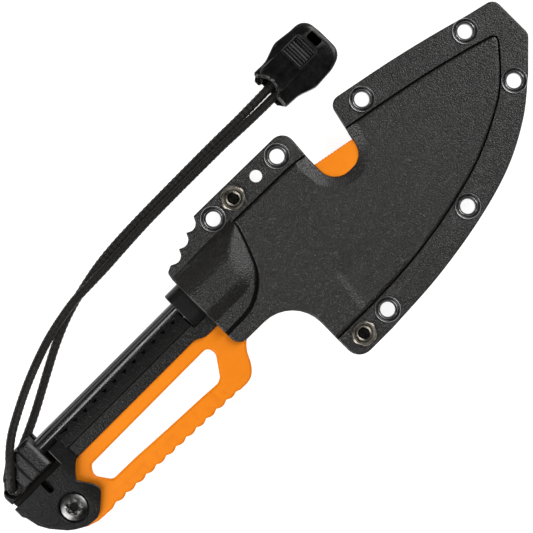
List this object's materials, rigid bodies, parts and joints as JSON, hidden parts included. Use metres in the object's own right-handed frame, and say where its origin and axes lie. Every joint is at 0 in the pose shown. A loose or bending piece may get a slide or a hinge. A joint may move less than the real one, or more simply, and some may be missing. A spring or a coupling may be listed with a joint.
{
  "type": "rigging knife",
  "caption": "Fixed-blade rigging knife in a moulded sheath with rolled eyelets and a belt loop, with a fire rod stowed along its handle and a corded lanyard that ends in a clamp.",
  "frame": {"origin": "under the middle of the sheathed knife, on the surface that the belt loop rests on", "axes": "+X along the knife towards the blade's tip, +Y towards its spine, +Z out of the front of the sheath"},
  "size_m": [0.3049, 0.1245, 0.0256],
  "materials": {
    "sheath_plastic": "fine pebble-grained moulded black",
    "handle_plastic": "satin moulded black",
    "orange_coat": "satin orange coating on steel",
    "eyelet_metal": "semi-gloss black coating",
    "nut_steel": "dark blackened steel",
    "screw_steel": "bright turned steel",
    "rod_black": "gloss black coating",
    "cord_black": "braided nylon",
    "clamp_plastic": "gloss moulded black"
  },
  "bodies": {
    "sheath": {"sheath_front_shell": "sheath_plastic", "sheath_back_shell": "sheath_plastic", "eyelet_1": "eyelet_metal", "eyelet_2": "eyelet_metal", "eyelet_3": "eyelet_metal", "eyelet_4": "eyelet_metal", "eyelet_5": "eyelet_metal", "eyelet_6": "eyelet_metal", "eyelet_7": "eyelet_metal", "loop_nut_upper": "nut_steel", "loop_nut_lower": "nut_steel", "loop_screw_upper": "nut_steel", "loop_screw_lower": "nut_steel", "belt_loop": "sheath_plastic"},
    "knife": {"knife_blank": "orange_coat", "handle_scale_front": "handle_plastic", "handle_scale_back": "handle_plastic", "rod_collar": "handle_plastic", "pommel_screw": "screw_steel", "pommel_nut": "screw_steel", "collar_pin_1": "screw_steel", "collar_pin_2": "screw_steel", "scale_pin": "screw_steel"},
    "fire_rod": {"fire_rod": "rod_black", "rod_grip": "handle_plastic", "lanyard_cord": "cord_black", "lanyard_knot": "cord_black", "cord_end_front": "clamp_plastic", "cord_end_back": "clamp_plastic"}
  },
  "joints": [
    {"name": "knife_draw", "type": "slide", "parent": "sheath", "child": "knife", "axis": [-1, 0, 0], "range_m": [0, 0.18]},
    {"name": "rod_pull", "type": "slide", "parent": "knife", "child": "fire_rod", "axis": [-1, 0, 0], "range_m": [0, 0.115]}
  ]
}
